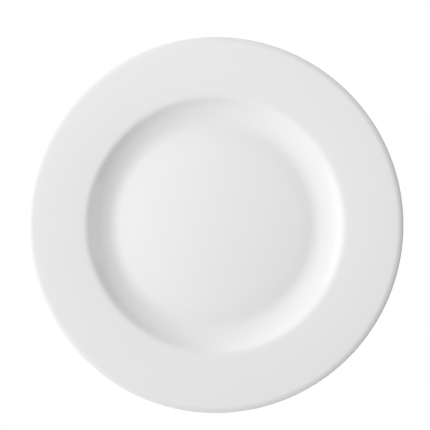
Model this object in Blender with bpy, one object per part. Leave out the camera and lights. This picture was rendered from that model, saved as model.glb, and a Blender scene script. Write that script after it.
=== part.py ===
# A flat dinner plate of glazed porcelain, fired as one piece: a level well, a wall that sweeps up
# to a wide raised rim, an eased lip, and a foot ring under the edge of the well.
# Metres, +Z up. The origin is the middle of the foot ring, on the surface that the plate stands on.

import math

import bpy
from mathutils import Matrix, Vector

# Rim and lip
PLATE_DIAMETER = 0.270
RIM_WIDTH = 0.0420  # shoulder to outer edge, measured level
RIM_ANGLE = math.radians(10.0)  # rise of the rim towards the lip
RIM_THICKNESS = 0.0045  # square to the rim, at the lip
LIP_BAND = 0.00265  # outer band of the rim that turns over, measured level
LIP_FALL = math.radians(13.0)  # slope of that band down to the edge
LIP_EASE_RADIUS = 0.0090  # rim over into the band
LIP_EDGE_RADIUS = 0.0009  # upper corner of the outer edge
LIP_UNDER_RADIUS = 0.0020  # lower corner of the outer edge

# Well and shoulder
WELL_DEPTH = 0.00875  # floor to shoulder
SWEEP_ANGLE = math.radians(18.0)  # where the floor's sweep passes into the wall's wider one
WALL_ANGLE = math.radians(29.6)  # steepest, just below the shoulder
WALL_THICKNESS = 0.0052  # square to the wall
WELL_SWEEP_RADIUS = 0.0287  # floor up to the sweep angle
WALL_SWEEP_RADIUS = 0.0615  # sweep angle up to the wall angle
SHOULDER_RADIUS = 0.0135  # wall over into the rim
UNDER_SHOULDER_RADIUS = 0.016  # the same bend on the underside

# Floor and foot ring
FLOOR_THICKNESS = 0.0050
FOOT_HEIGHT = 0.0026  # table to the underside of the floor
FOOT_WIDTH = 0.0040  # bearing land, corner to corner
FOOT_OUTSET = 0.0058  # from the corner between floor and wall out to the edge of the land
FOOT_OUTER_DRAFT = math.radians(15.0)
FOOT_INNER_DRAFT = math.radians(28.0)
FOOT_EDGE_RADIUS = 0.0007
FOOT_ROOT_RADIUS = 0.0028

# Facets
CHORD_ERROR = 0.00003  # furthest that a facet of an arc lies inside it
LEAST_ARC_FACETS = 3
TURN_FACETS = 96
LEAST_STRAIGHT = 0.02  # share of a straight run that the arcs at its ends leave over

GLAZE_WHITE = (0.80, 0.80, 0.80, 1.0)
GLAZE_ROUGHNESS = 0.12


def heading(angle):
    """Unit direction in the half section, as radius and height, at an angle above level."""
    return Vector((math.cos(angle), math.sin(angle)))


def crossing(point, direction, other_point, other_direction):
    """Where two straight lines of the section meet."""
    along = (other_point - point).cross(other_direction) / direction.cross(other_direction)
    return point + along * direction


def section_corners():
    """Corners of the half section and the radius of each, from the axis over the lip and back."""
    edge_radius = PLATE_DIAMETER / 2
    floor_height = FOOT_HEIGHT + FLOOR_THICKNESS
    sweep = heading(SWEEP_ANGLE)
    wall = heading(WALL_ANGLE)
    rim = heading(RIM_ANGLE)

    shoulder = Vector((edge_radius - RIM_WIDTH, floor_height + WELL_DEPTH))
    # The two sweeps of the wall follow each other on a run that is just long enough for both.
    floor_reach = WELL_SWEEP_RADIUS * math.tan(SWEEP_ANGLE / 2)
    wall_reach = WALL_SWEEP_RADIUS * math.tan((WALL_ANGLE - SWEEP_ANGLE) / 2)
    sweep_run = sweep * (floor_reach + wall_reach) / (1 - LEAST_STRAIGHT)
    wall_foot = shoulder - wall * (WELL_DEPTH - sweep_run.y) / wall.y
    floor_edge = wall_foot - sweep_run
    crown = shoulder + rim * (RIM_WIDTH - LIP_BAND) / rim.x
    edge_top = crown + LIP_BAND * Vector((1, -math.tan(LIP_FALL)))
    rim_end = shoulder + rim * RIM_WIDTH / rim.x
    edge_under = rim_end - Vector((0, RIM_THICKNESS / rim.x))

    # The underside keeps the wall's thickness as far as the shoulder and thins from there to the lip.
    below_wall = shoulder + WALL_THICKNESS * Vector((wall.y, -wall.x))
    below_rim = shoulder + WALL_THICKNESS * Vector((rim.y, -rim.x))
    under_shoulder = crossing(below_wall, wall, below_rim, rim)

    foot_outer = Vector((floor_edge.x + FOOT_OUTSET, 0))
    foot_inner = foot_outer - Vector((FOOT_WIDTH, 0))
    outer_face = heading(math.pi / 2 - FOOT_OUTER_DRAFT)
    foot_root = crossing(foot_outer, outer_face, under_shoulder, wall)
    recess_edge = foot_inner + FOOT_HEIGHT * Vector((-math.tan(FOOT_INNER_DRAFT), 1))

    return [
        (Vector((0, floor_height)), 0),
        (floor_edge, WELL_SWEEP_RADIUS),
        (wall_foot, WALL_SWEEP_RADIUS),
        (shoulder, SHOULDER_RADIUS),
        (crown, LIP_EASE_RADIUS),
        (edge_top, LIP_EDGE_RADIUS),
        (edge_under, LIP_UNDER_RADIUS),
        (under_shoulder, UNDER_SHOULDER_RADIUS),
        (foot_root, FOOT_ROOT_RADIUS),
        (foot_outer, FOOT_EDGE_RADIUS),
        (foot_inner, FOOT_EDGE_RADIUS),
        (recess_edge, FOOT_ROOT_RADIUS),
        (Vector((0, FOOT_HEIGHT)), 0),
    ]


def corner_turns(points):
    """Angle that the outline turns through at each inner corner, anticlockwise positive."""
    turns = [0.0]
    for before, corner, after in zip(points, points[1:], points[2:]):
        turns.append(-(corner - before).angle_signed(after - corner))
    return turns + [0.0]


def fitted_radii(points, radii, turns):
    """Radii cut down where the arcs at the two ends of a straight run would meet on it."""
    reaches = [radius * math.tan(abs(turn) / 2) for radius, turn in zip(radii, turns)]
    shares = [1.0] * len(points)
    for start in range(len(points) - 1):
        end = start + 1
        room = (points[end] - points[start]).length * (1 - LEAST_STRAIGHT)
        share = min(1.0, room / (reaches[start] + reaches[end]))
        shares[start] = min(shares[start], share)
        shares[end] = min(shares[end], share)
    return [radius * share for radius, share in zip(radii, shares)]


def corner_arc(before, corner, radius, turn):
    """Points of the arc that rounds a corner, from the run before it to the run after it."""
    arriving = (corner - before).normalized()
    inward = Matrix.Rotation(math.copysign(math.pi / 2, turn), 2) @ arriving
    centre = corner - arriving * radius * math.tan(abs(turn) / 2) + inward * radius
    facet_turn = 2 * math.acos(1 - min(1.0, CHORD_ERROR / radius))
    facets = max(LEAST_ARC_FACETS, math.ceil(abs(turn) / facet_turn))
    return [
        centre - Matrix.Rotation(turn * step / facets, 2) @ inward * radius
        for step in range(facets + 1)
    ]


def rounded_outline(corners):
    """The half section with every corner that has a radius turned into an arc."""
    points = [point for point, radius in corners]
    turns = corner_turns(points)
    radii = fitted_radii(points, [radius for point, radius in corners], turns)
    outline = [points[0]]
    for place in range(1, len(points) - 1):
        outline += corner_arc(points[place - 1], points[place], radii[place], turns[place])
    return outline + [points[-1]]


def glazed_porcelain():
    """White porcelain under a clear, fired gloss glaze."""
    material = bpy.data.materials.new("glazed_porcelain")
    material.use_nodes = True
    surface = material.node_tree.nodes["Principled BSDF"]
    surface.inputs["Base Color"].default_value = GLAZE_WHITE
    surface.inputs["Roughness"].default_value = GLAZE_ROUGHNESS
    surface.inputs["Metallic"].default_value = 0.0
    return material


def turned_piece(name, outline, material):
    """A solid turned about Z from a half section given as radius and height."""
    mesh = bpy.data.meshes.new(name)
    runs = [(start, start + 1) for start in range(len(outline) - 1)]
    mesh.from_pydata([(point.x, 0, point.y) for point in outline], runs, [])
    mesh.materials.append(material)
    piece = bpy.data.objects.new(name, mesh)
    bpy.context.scene.collection.objects.link(piece)

    turn = piece.modifiers.new("turn", "SCREW")
    turn.axis = "Z"
    turn.angle = math.tau
    turn.steps = TURN_FACETS
    turn.render_steps = TURN_FACETS
    turn.use_merge_vertices = True
    turn.merge_threshold = 0.00001
    turn.use_smooth_shade = True
    return piece


for leftover in list(bpy.data.objects):
    bpy.data.objects.remove(leftover)

turned_piece("plate", rounded_outline(section_corners()), glazed_porcelain())
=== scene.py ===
import math

import bmesh
import bpy
from mathutils import Matrix, Vector


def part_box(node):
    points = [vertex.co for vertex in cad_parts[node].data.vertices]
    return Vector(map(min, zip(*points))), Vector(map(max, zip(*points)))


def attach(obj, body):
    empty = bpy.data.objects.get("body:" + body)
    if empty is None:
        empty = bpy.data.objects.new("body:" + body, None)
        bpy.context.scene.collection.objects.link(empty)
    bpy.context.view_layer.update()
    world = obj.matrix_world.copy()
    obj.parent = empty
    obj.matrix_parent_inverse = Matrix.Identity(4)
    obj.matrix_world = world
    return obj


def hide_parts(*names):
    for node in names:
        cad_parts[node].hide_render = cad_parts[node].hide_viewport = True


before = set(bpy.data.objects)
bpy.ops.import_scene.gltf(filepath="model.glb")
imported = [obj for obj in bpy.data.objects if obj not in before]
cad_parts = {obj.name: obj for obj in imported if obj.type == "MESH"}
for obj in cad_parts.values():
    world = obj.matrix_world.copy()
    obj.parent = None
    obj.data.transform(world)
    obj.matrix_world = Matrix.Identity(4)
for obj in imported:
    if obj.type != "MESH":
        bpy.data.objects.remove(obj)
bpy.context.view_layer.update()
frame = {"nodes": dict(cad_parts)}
scene = bpy.context.scene
print("frame loaded, nodes:", ", ".join(frame["nodes"]))


# drawing the half section, as radius and height
def heading(degrees):
    angle = math.radians(degrees)
    return Vector((math.cos(angle), math.sin(angle)))


def reachShare(degrees):
    # how far a rounded corner reaches along its runs, as a share of its radius
    return math.tan(math.radians(degrees) / 2)


def crossing(point, direction, otherPoint, otherDirection):
    along = (otherPoint - point).cross(otherDirection) / direction.cross(otherDirection)
    return point + along * direction


def drawSection(bm, corners, s):
    # a pen walks the section: straight runs are extruded, round corners are spun
    points = [Vector(corner[:2]) for corner in corners]
    radii = [corner[2] for corner in corners]
    pen = bm.verts.new((points[0].x, 0, points[0].y))
    for before, corner, after, radius in zip(points, points[1:], points[2:], radii[1:]):
        arriving = (corner - before).normalized()
        turn = -arriving.angle_signed(after - corner)
        start = corner - arriving * radius * math.tan(abs(turn) / 2)
        pen = drawRun(bm, pen, start, s)
        inward = Matrix.Rotation(math.copysign(math.pi / 2, turn), 2) @ arriving
        centre = start + inward * radius
        step = min(math.radians(s["arcStep"]), 2 * math.acos(1 - s["arcSag"] / radius))
        steps = max(s["leastArcSteps"], math.ceil(abs(turn) / step))
        arc = bmesh.ops.spin(bm, geom=[pen], cent=(centre.x, 0, centre.y), axis=(0, 1, 0),
                             angle=-turn, steps=steps)
        pen = next(g for g in arc["geom_last"] if isinstance(g, bmesh.types.BMVert))
    drawRun(bm, pen, points[-1], s)


def drawRun(bm, pen, end, s):
    start = pen.co.copy()
    target = Vector((end.x, 0, end.y))
    # where two arcs meet there is no run, and the slack takes up the rounding
    cuts = math.ceil((target - start).length / s["runStep"] - s["runSlack"])
    for cut in range(1, cuts + 1):
        pen = bmesh.ops.extrude_vert_indiv(bm, verts=[pen])["verts"][0]
        pen.co = start.lerp(target, cut / cuts)
    return pen


def addPiece(name, bm, materials):
    mesh = bpy.data.meshes.new(name)
    bm.to_mesh(mesh)
    bm.free()
    for material in materials:
        mesh.materials.append(material)
    mesh.shade_smooth()
    piece = bpy.data.objects.new(name, mesh)
    scene.collection.objects.link(piece)
    return piece


# glazed plate: metres and degrees
plateShape = {
    # rim and lip
    "rimWidth": 0.0420, "rimRise": 10.0, "rimThick": 0.0045,
    "lipBand": 0.00265, "lipFall": 13.0, "lipEase": 0.0090, "lipEdge": 0.0009, "lipUnder": 0.0020,
    # well, wall and shoulder
    "wellDepth": 0.00875, "sweepRise": 18.0, "wallRise": 29.6, "wallThick": 0.0052,
    "floorSweep": 0.0287, "wallSweep": 0.0615,  # tight at the floor, wide further up
    "shoulder": 0.0135, "underShoulder": 0.016,
    # floor and foot ring
    "floorThick": 0.0050, "footHeight": 0.0026, "footWidth": 0.0040, "footOutset": 0.0058,
    "footOuterDraft": 15.0, "footInnerDraft": 28.0, "footRoot": 0.0028, "landEdge": 0.0006,
    # end of the glaze on the foot ring
    "glazeThick": 0.00018,  # the bare land stands this far back from the glazed faces
    "glazeLine": 0.0010,  # height at which the glaze stops
    "rollEdge": 0.000075, "rollRoot": 0.0000375,
    # facets
    "arcSag": 0.000002, "arcStep": 5.0, "leastArcSteps": 3, "quarterSteps": 80,
    "runStep": 0.004, "runSlack": 0.001, "weld": 0.000001,  # the slack is a share of a step
}


def plateCorners(s, outerRadius):
    sweep, wall, rim = heading(s["sweepRise"]), heading(s["wallRise"]), heading(s["rimRise"])
    floorHeight = s["footHeight"] + s["floorThick"]
    shoulder = Vector((outerRadius - s["rimWidth"], floorHeight + s["wellDepth"]))
    # the two sweeps of the wall meet, with no straight run between them
    sweepRun = sweep * (s["floorSweep"] * reachShare(s["sweepRise"])
                        + s["wallSweep"] * reachShare(s["wallRise"] - s["sweepRise"]))
    wallFoot = shoulder - wall * (s["wellDepth"] - sweepRun.y) / wall.y
    floorEdge = wallFoot - sweepRun
    crown = shoulder + rim * (s["rimWidth"] - s["lipBand"]) / rim.x
    edgeTop = crown + s["lipBand"] * Vector((1, -math.tan(math.radians(s["lipFall"]))))
    edgeUnder = shoulder + rim * s["rimWidth"] / rim.x - Vector((0, s["rimThick"] / rim.x))
    belowWall = shoulder + s["wallThick"] * Vector((wall.y, -wall.x))
    belowRim = shoulder + s["wallThick"] * Vector((rim.y, -rim.x))
    underShoulder = crossing(belowWall, wall, belowRim, rim)

    # foot ring: glazed faces, a small glaze roll on each side, and the bare land between them
    outerFace = heading(90 - s["footOuterDraft"])
    innerFace = heading(90 + s["footInnerDraft"])
    footOuter = Vector((floorEdge.x + s["footOutset"], 0))
    footInner = footOuter - Vector((s["footWidth"], 0))
    footRoot = crossing(footOuter, outerFace, underShoulder, wall)
    recessEdge = footInner + innerFace * s["footHeight"] / innerFace.y
    rollOuter = footOuter + outerFace * s["glazeLine"] / outerFace.y
    rollInner = footInner + innerFace * s["glazeLine"] / innerFace.y
    clayOuter = rollOuter + s["glazeThick"] * Vector((-outerFace.y, outerFace.x))
    clayInner = rollInner + s["glazeThick"] * Vector((innerFace.y, -innerFace.x))
    tableLine = Vector((0, 0)), Vector((1, 0))
    landOuter = crossing(clayOuter, outerFace, *tableLine)
    landInner = crossing(clayInner, innerFace, *tableLine)
    return {
        "middleTop": (0, floorHeight, 0),
        "floorEdge": (*floorEdge, s["floorSweep"]),
        "wallFoot": (*wallFoot, s["wallSweep"]),
        "shoulder": (*shoulder, s["shoulder"]),
        "crown": (*crown, s["lipEase"]),
        "edgeTop": (*edgeTop, s["lipEdge"]),
        "edgeUnder": (*edgeUnder, s["lipUnder"]),
        "underShoulder": (*underShoulder, s["underShoulder"]),
        "footRoot": (*footRoot, s["footRoot"]),
        "rollOuter": (*rollOuter, s["rollEdge"]),
        "clayOuter": (*clayOuter, s["rollRoot"]),
        "landOuter": (*landOuter, s["landEdge"]),
        "landInner": (*landInner, s["landEdge"]),
        "clayInner": (*clayInner, s["rollRoot"]),
        "rollInner": (*rollInner, s["rollEdge"]),
        "recessEdge": (*recessEdge, s["footRoot"]),
        "middleUnder": (0, s["footHeight"], 0),
    }


def turnPlate(s, corners, finishes):
    bm = bmesh.new()
    drawSection(bm, list(corners.values()), s)
    # a quarter of the plate, mirrored both ways
    bmesh.ops.spin(bm, geom=bm.verts[:] + bm.edges[:], cent=(0, 0, 0), axis=(0, 0, 1),
                   angle=math.pi / 2, steps=s["quarterSteps"])
    for axis in "XY":
        bmesh.ops.mirror(bm, geom=bm.verts[:] + bm.edges[:] + bm.faces[:], matrix=Matrix(),
                         merge_dist=s["weld"], axis=axis)
    bmesh.ops.remove_doubles(bm, verts=bm.verts[:], dist=s["weld"])
    bmesh.ops.recalc_face_normals(bm, faces=bm.faces[:])
    # welding leaves the faces in any order, so they are put in one that every run shares
    bm.verts.index_update()
    count = len(bm.verts)
    bm.faces.sort(key=lambda face: face.verts[0].index * count + face.verts[2].index)
    upper, under, bare = range(len(finishes))
    for face in bm.faces:
        centre = face.calc_center_median()
        onFoot = corners["clayInner"][0] < centre.xy.length < corners["clayOuter"][0]
        if onFoot and centre.z < s["glazeLine"]:
            face.material_index = bare
        else:
            face.material_index = under if face.normal.z < 0 else upper
    return addPiece("glazedPlate", bm, finishes)


# finishes
def newGroup(name, inputs, outputs):
    group = bpy.data.node_groups.new(name, "ShaderNodeTree")
    for label, kind in inputs.items():
        group.interface.new_socket(label, in_out="INPUT", socket_type=kind)
    for label, kind in outputs.items():
        group.interface.new_socket(label, in_out="OUTPUT", socket_type=kind)
    return group, group.nodes.new("NodeGroupInput"), group.nodes.new("NodeGroupOutput")


def addNoise(tree, place, scale, detail):
    noise = tree.nodes.new("ShaderNodeTexNoise")
    noise.inputs["Scale"].default_value = scale
    noise.inputs["Detail"].default_value = detail
    tree.links.new(place, noise.inputs["Vector"])
    return noise.outputs["Fac"]


def addMath(tree, operation, first, second=0):
    step = tree.nodes.new("ShaderNodeMath")
    step.operation = operation
    for socket, value in zip(step.inputs, (first, second)):
        if isinstance(value, (int, float)):
            socket.default_value = value
        else:
            tree.links.new(value, socket)
    return step.outputs[0]


def addRange(tree, value, fromRange, toRange, smooth=False):
    step = tree.nodes.new("ShaderNodeMapRange")
    step.interpolation_type = "SMOOTHSTEP" if smooth else "LINEAR"
    for label, number in zip(("From Min", "From Max", "To Min", "To Max"), (*fromRange, *toRange)):
        step.inputs[label].default_value = number
    tree.links.new(value, step.inputs["Value"])
    return step.outputs["Result"]


def addCloud(tree, place, scale, detail, span):
    # cloudy noise, stretched so that its usual span runs from nought to one
    return addRange(tree, addNoise(tree, place, scale, detail), span, (0, 1))


def addMix(tree, factor, first, second):
    mix = tree.nodes.new("ShaderNodeMix")
    mix.data_type = "RGBA"
    tree.links.new(factor, mix.inputs["Factor"])
    for label, colour in (("A", first), ("B", second)):
        socket = next(i for i in mix.inputs if i.name == label and i.type == "RGBA")
        if isinstance(colour, tuple):
            socket.default_value = (*colour, 1)
        else:
            tree.links.new(colour, socket)
    return next(o for o in mix.outputs if o.type == "RGBA")


def addRadius(tree, place):
    # distance from the plate's axis
    flat = tree.nodes.new("ShaderNodeVectorMath")
    flat.operation = "MULTIPLY"
    flat.inputs[1].default_value = (1, 1, 0)
    tree.links.new(place, flat.inputs[0])
    length = tree.nodes.new("ShaderNodeVectorMath")
    length.operation = "LENGTH"
    tree.links.new(flat.outputs["Vector"], length.inputs[0])
    return length.outputs["Value"]


def addBand(tree, value, middle, halfWidth):
    # one at the middle, falling to nothing at either side
    away = addMath(tree, "ABSOLUTE", addMath(tree, "SUBTRACT", value, middle))
    return addRange(tree, away, (0, halfWidth), (1, 0), smooth=True)


glazeRipple = {
    "waveScale": 75.0, "waveDetail": 1.5,  # about 13 mm from crest to crest
    "peelScale": 420.0, "peelDetail": 2.0, "peelShare": 0.12,
    "glossScale": 28.0, "glossDetail": 3.0,
    "toneScale": 9.0, "toneDetail": 2.0,
    "cloudSpan": (0.3, 0.7),
}


def makeGlazeGroup(g):
    number = "NodeSocketFloat"
    group, start, end = newGroup(
        "firedGlaze", {"Place": "NodeSocketVector", "Smoothest": number, "Roughest": number},
        {"Tone": number, "Roughness": number, "Height": number})
    place = start.outputs["Place"]
    smoothest, roughest = start.outputs["Smoothest"], start.outputs["Roughest"]
    wave = addNoise(group, place, g["waveScale"], g["waveDetail"])
    peel = addNoise(group, place, g["peelScale"], g["peelDetail"])
    height = addMath(group, "ADD", wave, addMath(group, "MULTIPLY", peel, g["peelShare"]))
    group.links.new(height, end.inputs["Height"])
    gloss = addCloud(group, place, g["glossScale"], g["glossDetail"], g["cloudSpan"])
    spread = addMath(group, "SUBTRACT", roughest, smoothest)
    rough = addMath(group, "ADD", smoothest, addMath(group, "MULTIPLY", spread, gloss))
    group.links.new(rough, end.inputs["Roughness"])
    tone = addCloud(group, place, g["toneScale"], g["toneDetail"], g["cloudSpan"])
    group.links.new(tone, end.inputs["Tone"])
    return group


def startMaterial(name, indexOfRefraction):
    material = bpy.data.materials.new(name)
    material.use_nodes = True
    tree = material.node_tree
    shader = tree.nodes["Principled BSDF"]
    shader.inputs["IOR"].default_value = indexOfRefraction
    place = tree.nodes.new("ShaderNodeTexCoord").outputs["Object"]
    return material, tree, shader, place


def addBump(tree, shader, height, depth):
    bump = tree.nodes.new("ShaderNodeBump")
    bump.inputs["Strength"].default_value = 1
    bump.inputs["Distance"].default_value = depth
    tree.links.new(height, bump.inputs["Height"])
    tree.links.new(bump.outputs["Normal"], shader.inputs["Normal"])


def placeGlaze(tree, group, place, smoothest, roughest):
    fired = tree.nodes.new("ShaderNodeGroup")
    fired.node_tree = group
    tree.links.new(place, fired.inputs["Place"])
    fired.inputs["Smoothest"].default_value = smoothest
    fired.inputs["Roughest"].default_value = roughest
    return fired


whiteGlaze = {
    "pale": (0.824, 0.824, 0.824), "deep": (0.816, 0.816, 0.816),
    "pooled": (0.806, 0.806, 0.806), "poolShadeInset": 0.0060, "poolWidth": 0.0100,  # round the floor: pooled glaze there, and painted shade at the floor's edge below the wall
    "thinAndShaded": (0.770, 0.770, 0.770), "thinStart": 0.0050, "thinFull": 0.0018,  # over the lip: thinner glaze, and painted shade that dims the lit edge
    "smoothest": 0.09, "roughest": 0.13, "rippleDepth": 0.000012, "index": 1.5,
}


def makeWhiteGlaze(w, group, corners):
    material, tree, shader, place = startMaterial("whiteGlaze", w["index"])
    fired = placeGlaze(tree, group, place, w["smoothest"], w["roughest"])
    colour = addMix(tree, fired.outputs["Tone"], w["pale"], w["deep"])
    radius = addRadius(tree, place)
    # painted shade at the floor's edge below the wall, with the glaze pooled there
    pool = addBand(tree, radius, corners["floorEdge"][0] - w["poolShadeInset"], w["poolWidth"])
    # painted shade over the lip, with the glaze thinner there
    lip = [corners["edgeTop"][0] - w[end] for end in ("thinStart", "thinFull")]
    thinAndShaded = addRange(tree, radius, lip, (0, 1), smooth=True)
    colour = addMix(tree, thinAndShaded, addMix(tree, pool, colour, w["pooled"]), w["thinAndShaded"])
    tree.links.new(colour, shader.inputs["Base Color"])
    tree.links.new(fired.outputs["Roughness"], shader.inputs["Roughness"])
    addBump(tree, shader, fired.outputs["Height"], w["rippleDepth"])
    return material


underGlaze = {
    "pale": (0.822, 0.822, 0.822), "deep": (0.812, 0.813, 0.815),
    "pooled": (0.775, 0.790, 0.800), "poolWidth": 0.0032,  # glaze runs thick beside the foot ring
    "smoothest": 0.10, "roughest": 0.16, "rippleDepth": 0.000016, "index": 1.5,
    "turnScale": 90.0, "turnWobble": 0.6, "turnDepth": 0.35,  # rings left by the turning tool
}


def makeUnderGlaze(u, group, corners):
    material, tree, shader, place = startMaterial("underGlaze", u["index"])
    fired = placeGlaze(tree, group, place, u["smoothest"], u["roughest"])
    colour = addMix(tree, fired.outputs["Tone"], u["pale"], u["deep"])
    radius = addRadius(tree, place)
    pools = [addBand(tree, radius, corners[corner][0], u["poolWidth"])
             for corner in ("footRoot", "recessEdge")]
    pool = addMath(tree, "MAXIMUM", *pools)
    tree.links.new(addMix(tree, pool, colour, u["pooled"]), shader.inputs["Base Color"])
    tree.links.new(fired.outputs["Roughness"], shader.inputs["Roughness"])
    rings = tree.nodes.new("ShaderNodeTexWave")
    rings.wave_type = "RINGS"
    rings.rings_direction = "Z"
    rings.inputs["Scale"].default_value = u["turnScale"]
    rings.inputs["Distortion"].default_value = u["turnWobble"]
    tree.links.new(place, rings.inputs["Vector"])
    turned = addMath(tree, "MULTIPLY", rings.outputs["Fac"], u["turnDepth"])
    addBump(tree, shader, addMath(tree, "ADD", fired.outputs["Height"], turned), u["rippleDepth"])
    return material


bareClay = {
    "body": (0.72, 0.70, 0.66), "rubbed": (0.62, 0.60, 0.57),
    "grainScale": 2600.0, "grainDetail": 3.0, "grainDepth": 0.00004,
    "rubScale": 160.0, "rubDetail": 4.0, "rubSpan": (0.45, 0.7),
    "smoothest": 0.62, "roughest": 0.85, "index": 1.45,
}


def makeBareClay(c):
    material, tree, shader, place = startMaterial("bareClay", c["index"])
    rub = addCloud(tree, place, c["rubScale"], c["rubDetail"], c["rubSpan"])
    tree.links.new(addMix(tree, rub, c["body"], c["rubbed"]), shader.inputs["Base Color"])
    rough = addRange(tree, rub, (0, 1), (c["roughest"], c["smoothest"]))
    tree.links.new(rough, shader.inputs["Roughness"])
    addBump(tree, shader, addNoise(tree, place, c["grainScale"], c["grainDetail"]), c["grainDepth"])
    return material


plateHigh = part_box("plate")[1]
corners = plateCorners(plateShape, plateHigh.x)
firedGlaze = makeGlazeGroup(glazeRipple)
finishes = [makeWhiteGlaze(whiteGlaze, firedGlaze, corners),
            makeUnderGlaze(underGlaze, firedGlaze, corners), makeBareClay(bareClay)]
print("finishes ready:", ", ".join(finish.name for finish in finishes))
glazedPlate = turnPlate(plateShape, corners, finishes)
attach(glazedPlate, "root")
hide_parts("plate")
print("plate turned:", len(glazedPlate.data.polygons), "faces")


# table and room: pale for the light, white for the camera and in reflections
def seenWhite(tree):
    path = tree.nodes.new("ShaderNodeLightPath")
    seen = path.outputs["Is Camera Ray"]
    for ray in ("Is Glossy Ray", "Is Transmission Ray"):
        seen = addMath(tree, "MAXIMUM", seen, path.outputs[ray])
    return seen


def mixShaders(tree, factor, first, second):
    mix = tree.nodes.new("ShaderNodeMixShader")
    for socket, source in zip(mix.inputs, (factor, first, second)):
        tree.links.new(source, socket)
    return mix.outputs[0]


def addGlowing(tree, tone):
    # a matt white that also gives off light; the strength socket comes back with it
    matt = tree.nodes.new("ShaderNodeBsdfDiffuse")
    glow = tree.nodes.new("ShaderNodeEmission")
    matt.inputs["Color"].default_value = (tone, tone, tone, 1)
    both = tree.nodes.new("ShaderNodeAddShader")
    tree.links.new(matt.outputs[0], both.inputs[0])
    tree.links.new(glow.outputs[0], both.inputs[1])
    return both.outputs[0], glow.inputs["Strength"]


table = {
    "reach": 3.0, "drop": 0.0002,
    "pale": 0.72, "litBelow": 0.15,  # as it lights the plate
    "glow": 0.98, "shadowTone": 0.045, "contactShadowTone": 0.40, "contactShadowReach": 0.018,  # as it is seen, with a painted contact shadow
}


def layTable(t):
    bm = bmesh.new()
    bmesh.ops.create_grid(bm, x_segments=1, y_segments=1, size=t["reach"])
    bmesh.ops.translate(bm, verts=bm.verts[:], vec=(0, 0, -t["drop"]))
    material = bpy.data.materials.new("paleTable")
    material.cycles.emission_sampling = "NONE"  # an even glow: the samples go to the soft boxes
    material.use_nodes = True
    tree = material.node_tree
    tree.nodes.clear()
    # a pale sheet lit a little from below; the camera sees it white, with the plate's shadow on it and a
    # painted contact shadow beneath the plate
    sheet, sheetGlow = addGlowing(tree, t["pale"])
    sheetGlow.default_value = t["litBelow"]
    bright, brightGlow = addGlowing(tree, t["shadowTone"])
    # painted contact shadow: the glow the camera sees dims where the plate is close above
    contact = tree.nodes.new("ShaderNodeAmbientOcclusion")
    contact.inputs["Distance"].default_value = t["contactShadowReach"]
    shaded = addRange(tree, contact.outputs["AO"], (0, 1), (t["contactShadowTone"], t["glow"]))
    tree.links.new(shaded, brightGlow)
    top = mixShaders(tree, seenWhite(tree), sheet, bright)
    # from below the table is clear, so that the foot ring can be looked at
    clear = tree.nodes.new("ShaderNodeBsdfTransparent")
    side = tree.nodes.new("ShaderNodeNewGeometry").outputs["Backfacing"]
    out = tree.nodes.new("ShaderNodeOutputMaterial")
    tree.links.new(mixShaders(tree, side, top, clear.outputs[0]), out.inputs["Surface"])
    addPiece("table", bm, [material])


room = {
    "glow": 0.18, "fullBelow": 18.0, "goneAbove": 27.0,  # light near the horizon, degrees up
    "mirroredLow": 0.56, "lowBelow": 36.0, "whiteAbove": 44.0,  # as the glaze mirrors it
    "glintBlur": 0.02,  # softness of a panel's edge, as a share of its half width
}
# two bright panels that only show as soft reflections on the wall of the well: degrees
glints = {
    "left": {"azimuth": 177.3, "elevation": 33.65, "wide": 43.1, "high": 11.8, "level": 1.206},
    "right": {"azimuth": -1.5, "elevation": 33.65, "wide": 31.0, "high": 11.8, "level": 1.25},
}


def aim(azimuth, elevation):
    level, rise = heading(azimuth), heading(elevation)
    return Vector((*(level * rise.x), rise.y))


def addDot(tree, direction, axis):
    dot = tree.nodes.new("ShaderNodeVectorMath")
    dot.operation = "DOT_PRODUCT"
    dot.inputs[1].default_value = axis
    tree.links.new(direction, dot.inputs[0])
    return dot.outputs["Value"]


def addGlint(tree, direction, g, blur):
    # light in a rectangle that faces the plate
    ahead = addDot(tree, direction, aim(g["azimuth"], g["elevation"]))
    across, up = aim(g["azimuth"] + 90, 0), aim(g["azimuth"], g["elevation"] + 90)
    light = g["level"]
    for axis, width in ((across, g["wide"]), (up, g["high"])):
        aside = addMath(tree, "DIVIDE", addDot(tree, direction, axis), ahead)
        edge = math.tan(math.radians(width / 2))
        edgeSpan = edge * (1 - blur), edge * (1 + blur)
        inside = addRange(tree, addMath(tree, "ABSOLUTE", aside), edgeSpan, (1, 0), smooth=True)
        light = addMath(tree, "MULTIPLY", light, inside)
    return light


def fillRoom(r, panels):
    world = bpy.data.worlds.new("studioRoom")
    scene.world = world
    world.cycles.sampling_method = "NONE"  # soft light, so here too
    world.use_nodes = True
    tree = world.node_tree
    tree.nodes.clear()
    direction = tree.nodes.new("ShaderNodeTexCoord").outputs["Generated"]
    split = tree.nodes.new("ShaderNodeSeparateXYZ")
    tree.links.new(direction, split.inputs[0])
    fill = tree.nodes.new("ShaderNodeBackground")
    white = tree.nodes.new("ShaderNodeBackground")
    for light in (fill, white):
        light.inputs["Color"].default_value = (1, 1, 1, 1)

    def fade(low, high, levels):
        heights = [math.sin(math.radians(r[end])) for end in (low, high)]
        return addRange(tree, split.outputs["Z"], heights, levels, smooth=True)

    tree.links.new(fade("fullBelow", "goneAbove", (r["glow"], 0)), fill.inputs["Strength"])
    mirrored = fade("lowBelow", "whiteAbove", (r["mirroredLow"], 1))
    for panel in panels.values():
        mirrored = addMath(tree, "ADD", mirrored, addGlint(tree, direction, panel, r["glintBlur"]))
    straight = tree.nodes.new("ShaderNodeLightPath").outputs["Is Camera Ray"]
    tree.links.new(addMath(tree, "MAXIMUM", mirrored, straight), white.inputs["Strength"])
    out = tree.nodes.new("ShaderNodeOutputWorld")
    tree.links.new(mixShaders(tree, seenWhite(tree), fill.outputs[0], white.outputs[0]),
                   out.inputs["Surface"])


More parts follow.
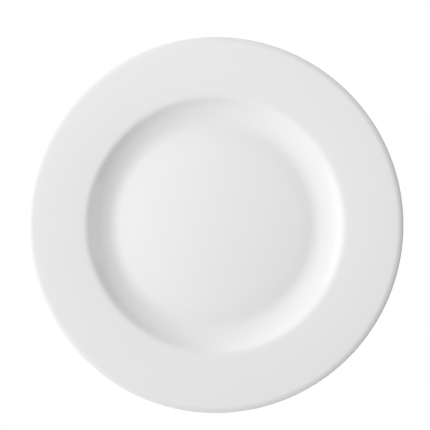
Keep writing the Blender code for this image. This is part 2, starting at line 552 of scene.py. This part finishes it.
# soft boxes on the left and white cards on the right, aimed at the plate: degrees, metres and watts
softBoxes = {
    "keyBox": {"azimuth": 178, "elevation": 27, "distance": 0.85, "size": (0.50, 0.20), "watts": 6.02},
    "backBox": {"azimuth": 112, "elevation": 40, "distance": 0.95, "size": (0.66, 0.20), "watts": 4.19},
    "frontBox": {"azimuth": 225, "elevation": 35, "distance": 1.25, "size": (1.03, 0.14), "watts": 5.36},
    "backCard": {"azimuth": 60, "elevation": 16, "distance": 1.0, "size": (1.0, 0.3), "watts": 2.13},
    "frontCard": {"azimuth": 300, "elevation": 16, "distance": 1.0, "size": (1.0, 0.3), "watts": 2.78},
}


def hangSoftbox(name, b):
    lamp = bpy.data.lights.new(name, "AREA")
    lamp.shape = "RECTANGLE"
    lamp.size, lamp.size_y = b["size"]
    lamp.energy = b["watts"]
    box = bpy.data.objects.new(name, lamp)
    toward = aim(b["azimuth"], b["elevation"])
    box.location = toward * b["distance"]
    box.rotation_euler = toward.to_track_quat("Z", "Y").to_euler()
    box.visible_glossy = False  # the glaze mirrors the white room instead
    scene.collection.objects.link(box)


layTable(table)
fillRoom(room, glints)
for name, softBox in softBoxes.items():
    hangSoftbox(name, softBox)
print("table, room and", len(softBoxes), "soft boxes set")


# camera straight above
view = {
    "pixels": 430, "outlineRadius": 187.95, "right": 0.35, "down": 9.95,  # pixels of the picture
    "distance": 1.8,  # metres above the lip
    "sensor": 36.0,  # millimetres
}


def setCamera(v, outerRadius, lipHeight):
    metresPerPixel = outerRadius / v["outlineRadius"]
    data = bpy.data.cameras.new("viewCamera")
    data.sensor_width = v["sensor"]
    data.lens = v["sensor"] * v["distance"] / (v["pixels"] * metresPerPixel)
    eye = bpy.data.objects.new("viewCamera", data)
    eye.location = (-v["right"] * metresPerPixel, v["down"] * metresPerPixel, lipHeight + v["distance"])
    scene.collection.objects.link(eye)
    scene.camera = eye


setCamera(view, plateHigh.x, plateHigh.z - plateShape["rimThick"] / 2)
scene.view_settings.view_transform = "Standard"
print("camera set")
